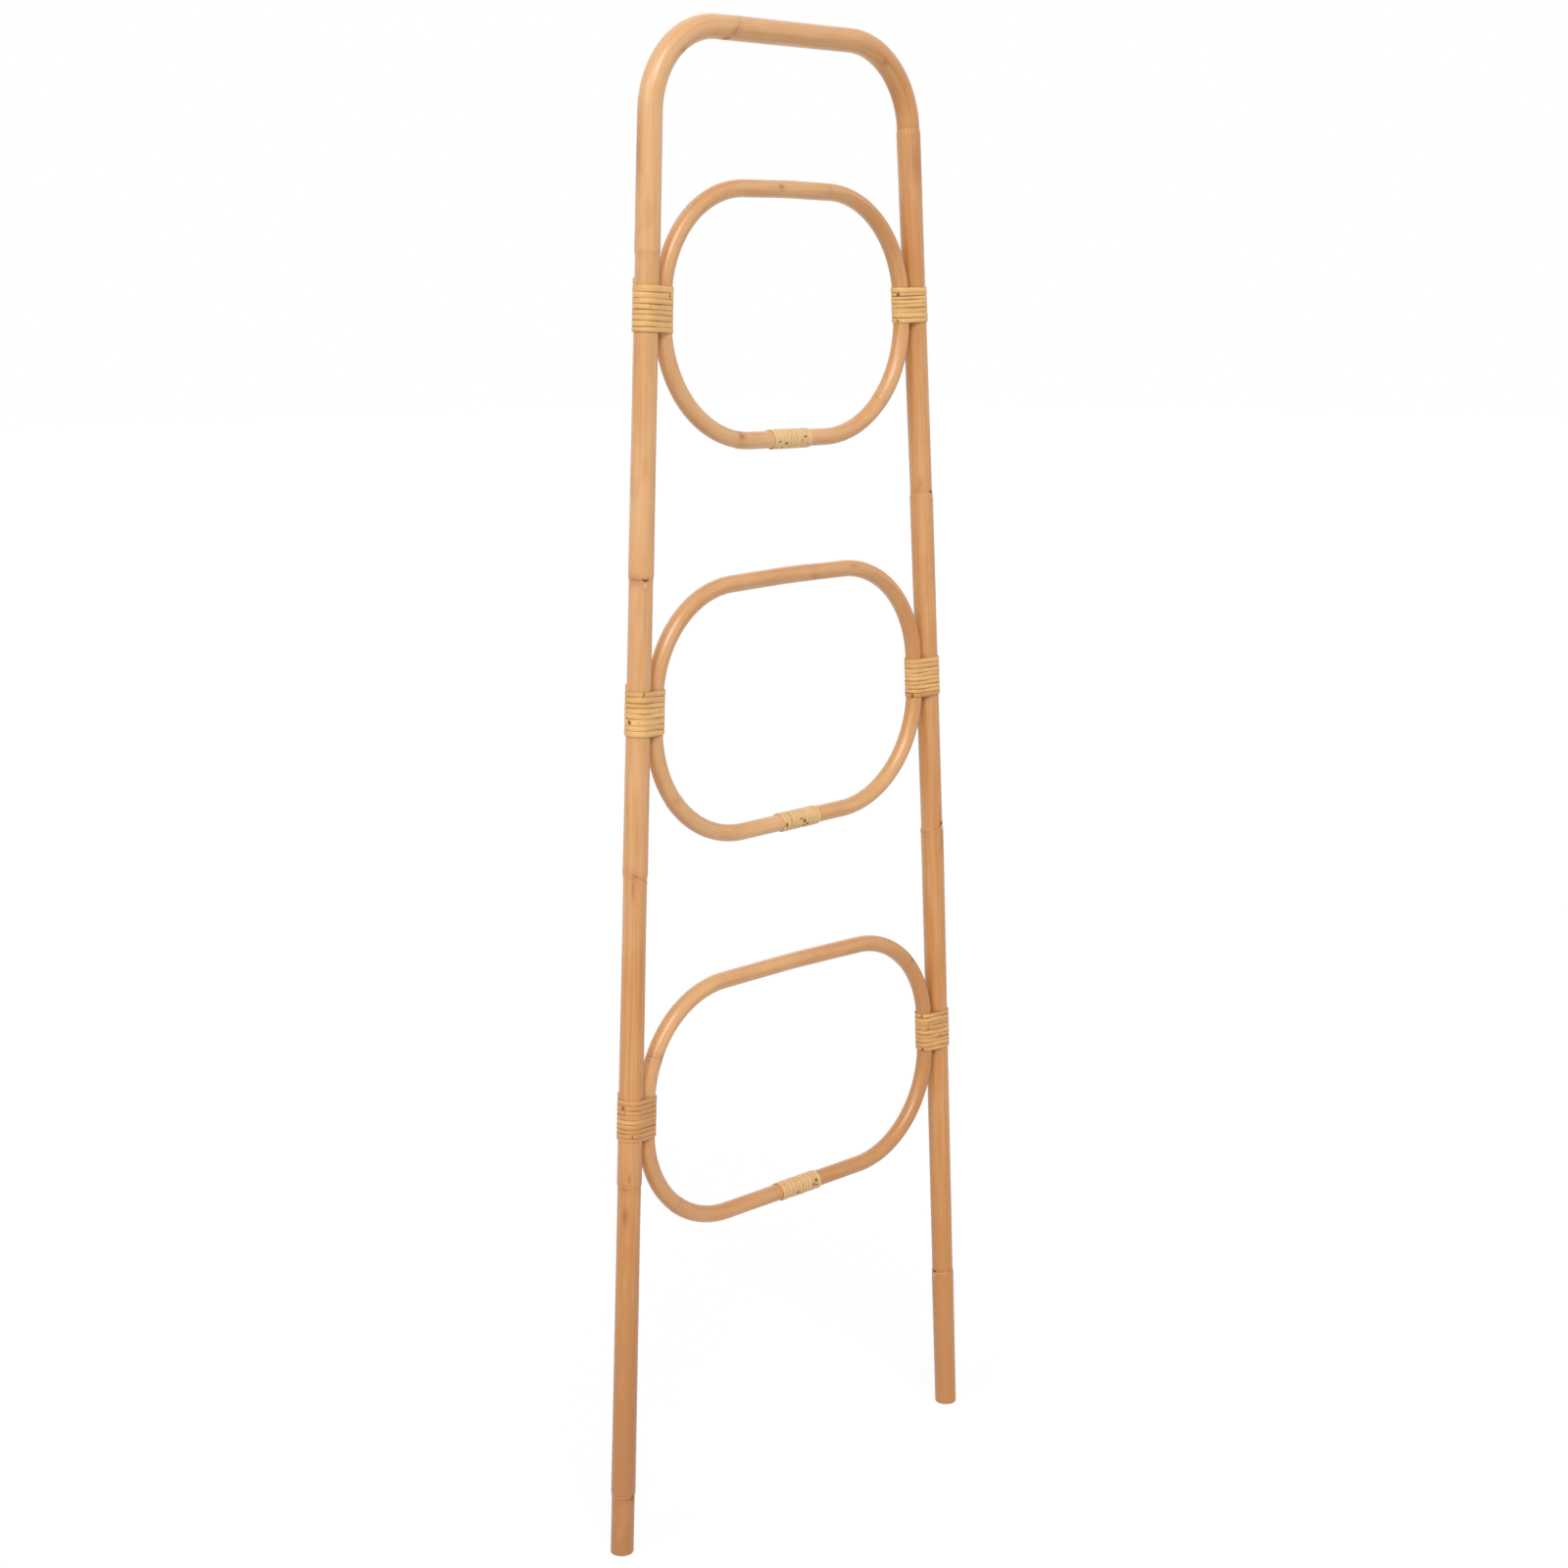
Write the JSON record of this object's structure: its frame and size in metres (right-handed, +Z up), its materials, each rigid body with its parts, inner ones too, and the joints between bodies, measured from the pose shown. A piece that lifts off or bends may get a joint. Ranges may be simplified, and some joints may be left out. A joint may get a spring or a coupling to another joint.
{
  "type": "leaning cane ladder shelf",
  "caption": "Tall leaning ladder of bent cane with oval hoops between two splayed rails, for hanging towels, blankets and magazines.",
  "frame": {"origin": "on the floor, midway between the two feet", "axes": "+X to the right along the ladder's width, +Y towards the wall it leans on, +Z up along its height; it is stored upright, not at its lean"},
  "size_m": [0.6, 0.032, 1.75],
  "materials": {
    "pole_cane": "satin varnished natural cane",
    "hoop_cane": "satin varnished natural cane",
    "strand_cane": "glossy skin of split cane",
    "fastener_steel": "plain zinc-plated steel"
  },
  "bodies": {
    "root": {"frame_pole": "pole_cane", "upper_hoop": "hoop_cane", "middle_hoop": "hoop_cane", "lower_hoop": "hoop_cane", "upper_left_binding": "strand_cane", "upper_right_binding": "strand_cane", "middle_left_binding": "strand_cane", "middle_right_binding": "strand_cane", "lower_left_binding": "strand_cane", "lower_right_binding": "strand_cane", "upper_splice_binding": "strand_cane", "middle_splice_binding": "strand_cane", "lower_splice_binding": "strand_cane", "hoop_screws": "fastener_steel", "splice_pins": "fastener_steel", "binding_tacks": "fastener_steel"}
  },
  "joints": []
}
